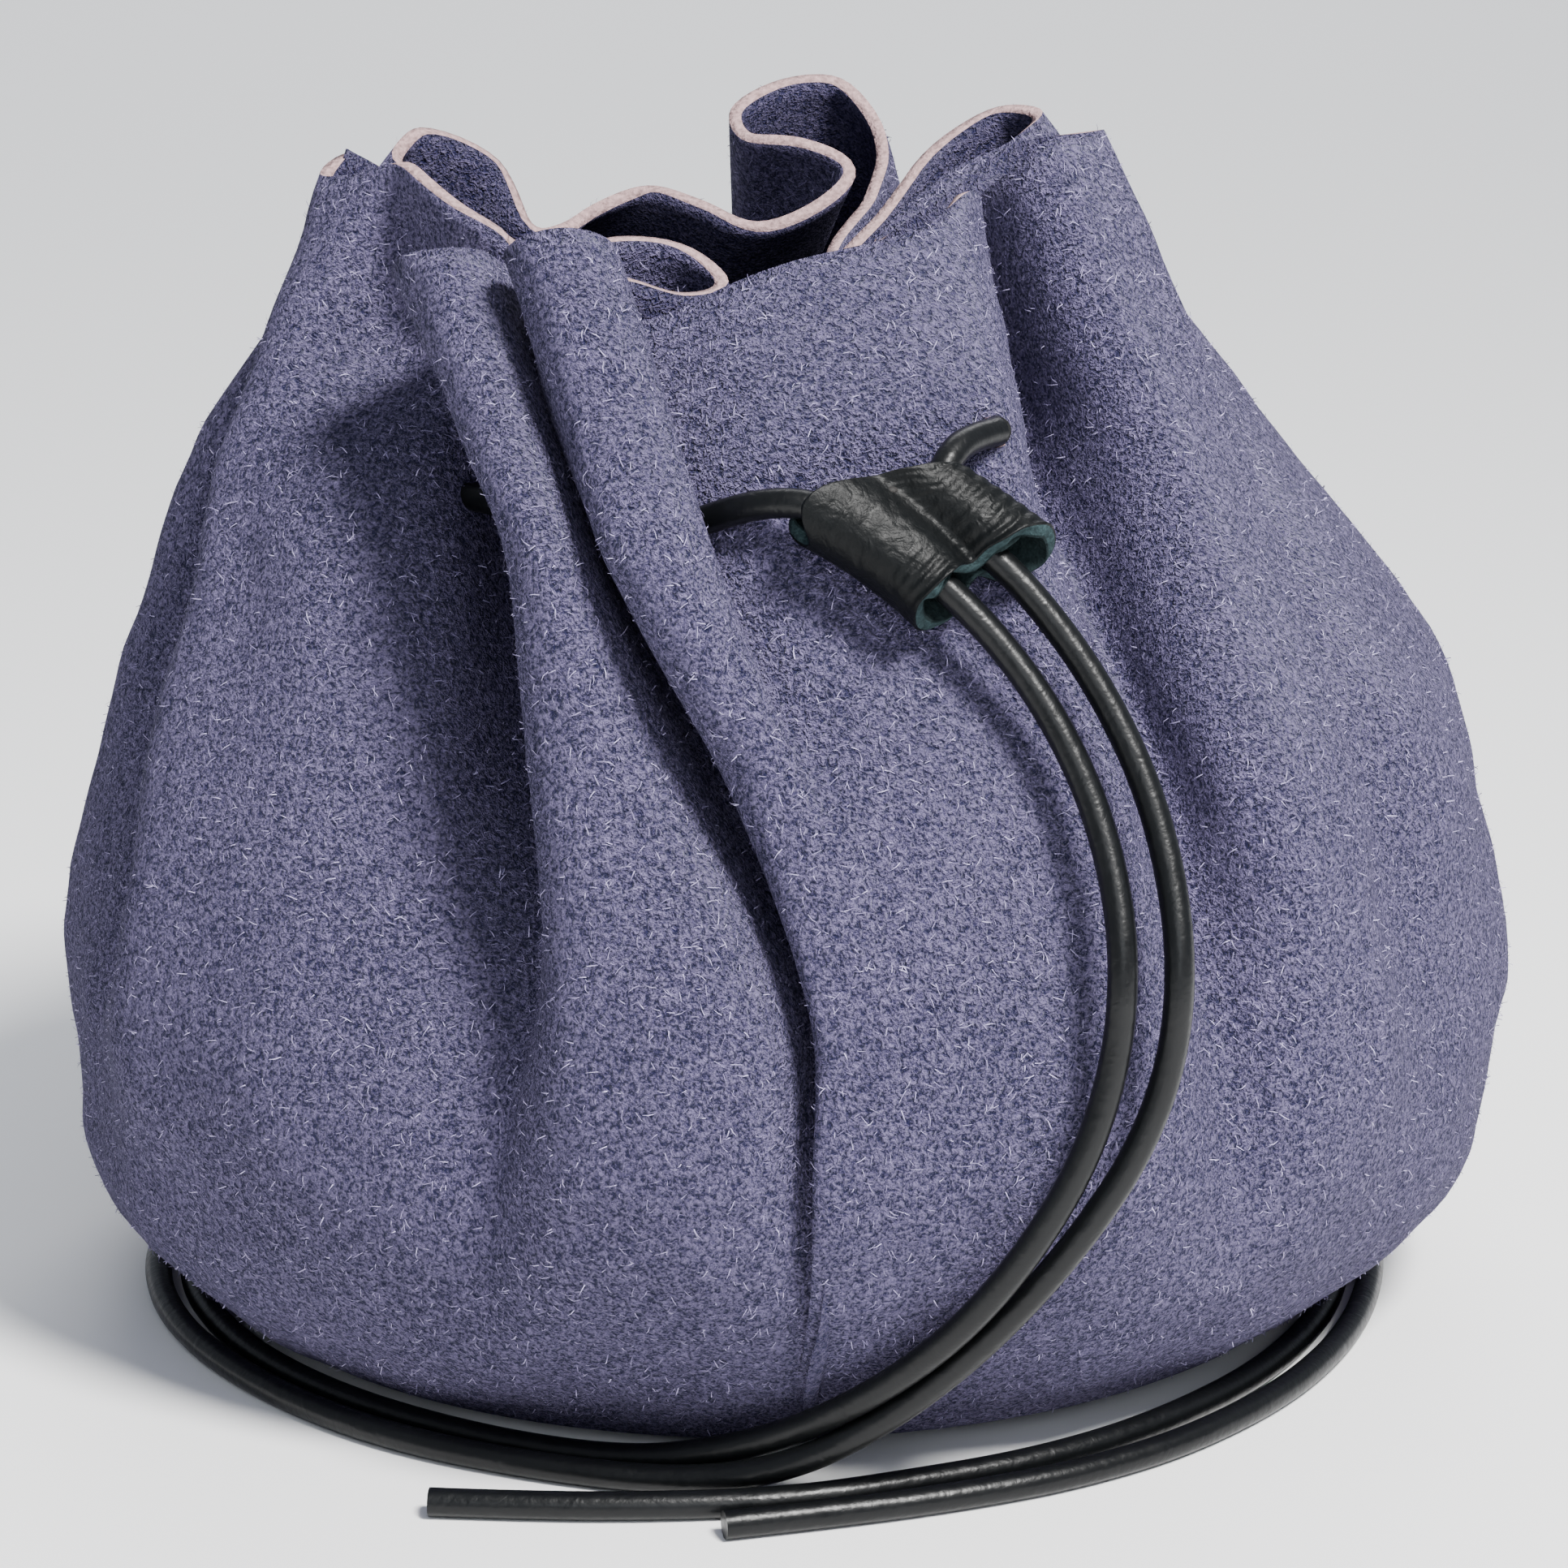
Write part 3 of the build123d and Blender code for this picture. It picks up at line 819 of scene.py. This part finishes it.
class DICEBAG_OT_slide(bpy.types.Operator):
    """Builds the rolled leather slide and its stitch"""

    bl_idname = "dicebag.slide"
    bl_label = "Slide"

    def section(self, along):
        """Radius and height over the plane of points round the slide's section.

        along is 0 at the rear and 1 at the mouths. Each half turn is one of the tubes."""
        left_edge = 37.4 - 0.4 * along
        right_edge = 50.2 + 0.9 * along
        seam = 44.9 - 1.0 * along
        if along < 0.25:
            pinch = 0.35 + 0.4 * along
        else:
            pinch = 0.45 + 0.5 * min(1.0, (along - 0.25) / 0.75)
        points = []
        for step in range(SLIDE_AROUND):
            turn = 2 * pi * step / SLIDE_AROUND
            across = cos(turn)
            if across < 0:
                edge, high = left_edge, 3.1 + 0.3 * along
            else:
                edge, high = right_edge, 2.4 + 0.9 * along
            radius = seam + abs(across) * (edge - seam)
            middle = (seam + edge) / 2
            half = (edge - seam) / 2
            lobe = max(0.0, 1.0 - abs((radius - middle) / half) ** 2.6) ** 0.45
            if (radius - middle) * half < 0:
                lobe = max(lobe, 1.0 - pinch)
            points.append((radius, (1 if sin(turn) >= 0 else -1) * high * lobe))
        return points

    def place(self, along, radius, out):
        """Where a point of the section goes: slanted mouths, and wrinkles on the front."""
        across = (radius - SLIDE_INNER) / SLIDE_WIDTH
        rear = float(np.interp(radius, REAR_RADII, REAR_ANGLES))
        mouth = LEFT_MOUTH + (RIGHT_MOUTH - LEFT_MOUTH) * across
        notch = max(0.0, 1.0 - abs(radius - SLIDE_MIDDLE) / 2.2) * 1.6 * along**6
        slant = (0.5 + 0.5 * out / 3.3) * 3.6 * along**2
        angle = rear + (mouth + notch + slant - rear) * along
        right = min(1.0, max(0.0, (radius - SLIDE_MIDDLE) / 2.0))
        left = (1.0 - right) * max(0.0, along - 0.55) * 2.0
        drift = noise.noise(Vector((radius * 0.35, angle * 0.5, 4.0)))
        wave = 4.3 * angle + 0.55 * radius + 1.6 * drift
        wrinkle = 0.2 * (right * (1.0 - 0.4 * along) + 0.6 * left) * sin(wave)
        wrinkle += 0.10 * noise.noise(Vector((radius * 0.8, angle * 0.8, out)))
        if out >= 0:
            out += wrinkle + 1.4 * max(0.0, along - 0.9)
        return arc_point(radius, angle, out)

    def execute(self, context):
        sizes = context.scene.dice_bag_leather
        grain = leather_material(
            "slide_leather", tuple(sizes.slide), gloss=0.44, grain=1500.0, strength=0.5, shine=0.13
        )
        flesh = edge_material("slide_flesh", tuple(sizes.flesh))
        # The tubes' inside is the flesh colour darkened to 0.4: painted shade inside the tubes.
        shade = edge_material("slide_inside", [0.4 * c for c in sizes.flesh])
        last = SLIDE_ROWS - 1
        sections = [self.section(row / last) for row in range(SLIDE_ROWS)]
        bm = bmesh.new()
        bmesh.ops.create_grid(bm, x_segments=SLIDE_AROUND, y_segments=last, size=1.0)
        bm.verts.ensure_lookup_table()
        for index, vertex in enumerate(bm.verts):
            row, column = divmod(index, SLIDE_AROUND + 1)
            vertex.co = self.place(row / last, *sections[row][column % SLIDE_AROUND])
        bmesh.ops.remove_doubles(bm, verts=bm.verts[:], dist=1e-6)
        bmesh.ops.recalc_face_normals(bm, faces=bm.faces[:])
        centre = arc_point(*SLIDE_CENTRE)
        front = min(bm.faces, key=lambda f: f.calc_center_median().y)
        if front.normal.dot(front.calc_center_median() - centre) < 0:
            bmesh.ops.reverse_faces(bm, faces=bm.faces[:])
        bmesh.ops.smooth_vert(
            bm, verts=bm.verts[:], factor=0.3, use_axis_x=True, use_axis_y=True, use_axis_z=True
        )
        slide = finish_object("rolled_slide", bm, [grain, shade, flesh])
        thicken(slide, SLIDE_WALL * MM)
        smooth = slide.modifiers.new("smooth", "SUBSURF")
        smooth.levels = 1
        smooth.render_levels = 1
        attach(slide, "slide")
        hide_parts("cord_slide")
        self.stitch()
        return {"FINISHED"}

    def stitch(self):
        """A dark stitch in the dimple over the seam."""
        bm = bmesh.new()
        bmesh.ops.create_uvsphere(bm, u_segments=12, v_segments=8, radius=STITCH_RADIUS * MM)
        for vertex in bm.verts:
            vertex.co.z *= 0.6
            vertex.co += arc_point(*STITCH_CENTRE)
        made = finish_object("slide_thread", bm, [thread_material("thread")])
        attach(made, "slide")
        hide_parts("slide_stitch")


def turn_towards(made, place):
    """Turns a light or a camera towards a place."""
    made.rotation_euler = (place - made.location).to_track_quat("-Z", "Y").to_euler()


class DICEBAG_OT_stage(bpy.types.Operator):
    """Builds the pale floor, the lights and the camera"""

    bl_idname = "dicebag.stage"
    bl_label = "Stage"

    def light(self, name, place, size, power, colour):
        """A round soft light that faces the bag."""
        lamp = bpy.data.lights.new(name, "AREA")
        lamp.shape = "DISK"
        lamp.size = size
        lamp.energy = power
        lamp.color = colour
        made = bpy.data.objects.new(name, lamp)
        made.location = place
        turn_towards(made, LAMP_AIM)
        bpy.context.scene.collection.objects.link(made)
        return made

    def execute(self, context):
        bm = bmesh.new()
        bmesh.ops.create_grid(bm, x_segments=1, y_segments=1, size=3.0)
        floor_material = bpy.data.materials.new("floor")
        floor_material.use_nodes = True
        paint = floor_material.node_tree.nodes["Principled BSDF"]
        paint.inputs["Base Color"].default_value = (0.93, 0.93, 0.93, 1.0)
        paint.inputs["Roughness"].default_value = 0.9
        floor = finish_object("floor", bm, [floor_material], smooth=False)
        key = self.light("key", (0.27, -0.37, 0.62), size=0.20, power=15.0, colour=(1.0, 0.99, 0.97))
        fill = self.light("fill", (0.05, -0.85, 0.42), size=0.5, power=1.8, colour=(0.92, 0.96, 1.0))
        back = self.light("back", (0.0, 1.3, 1.1), size=1.2, power=16.0, colour=(1.0, 1.0, 1.0))
        world = bpy.data.worlds.new("studio")
        world.use_nodes = True
        sky = world.node_tree.nodes["Background"]
        sky.inputs["Color"].default_value = (0.84, 0.91, 1.06, 1.0)
        sky.inputs["Strength"].default_value = 0.40
        bpy.context.scene.world = world
        lens = bpy.data.cameras.new("camera")
        lens.lens = LENS
        lens.sensor_width = 36.0
        lens.clip_start = 0.01
        camera = bpy.data.objects.new("camera", lens)
        camera.location = CAMERA_PLACE
        turn_towards(camera, CAMERA_AIM)
        bpy.context.scene.collection.objects.link(camera)
        bpy.context.scene.camera = camera
        return {"FINISHED"}


class DICEBAG_PT_panel(bpy.types.Panel):
    """Lists the steps that build the bag"""

    bl_label = "Dice Bag"
    bl_idname = "DICEBAG_PT_panel"
    bl_space_type = "VIEW_3D"
    bl_region_type = "UI"
    bl_category = "Dice Bag"

    def draw(self, context):
        for step in STEPS:
            self.layout.operator(step.bl_idname)
        for group in (context.scene.dice_bag_suede, context.scene.dice_bag_leather):
            for name in group.bl_rna.properties.keys():
                if name not in {"rna_type", "name"}:
                    self.layout.prop(group, name)


STEPS = (DICEBAG_OT_cord, DICEBAG_OT_suede, DICEBAG_OT_slide, DICEBAG_OT_stage)
CLASSES = (DiceBagSuede, DiceBagLeather, *STEPS, DICEBAG_PT_panel)


def register():
    for each in CLASSES:
        bpy.utils.register_class(each)
    bpy.types.Scene.dice_bag_suede = PointerProperty(type=DiceBagSuede)
    bpy.types.Scene.dice_bag_leather = PointerProperty(type=DiceBagLeather)


def unregister():
    del bpy.types.Scene.dice_bag_leather
    del bpy.types.Scene.dice_bag_suede
    for each in reversed(CLASSES):
        bpy.utils.unregister_class(each)


def main():
    register()
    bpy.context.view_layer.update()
    bpy.ops.dicebag.cord()
    bpy.ops.dicebag.suede()
    bpy.ops.dicebag.slide()
    bpy.ops.dicebag.stage()


if __name__ == "__main__":
    main()
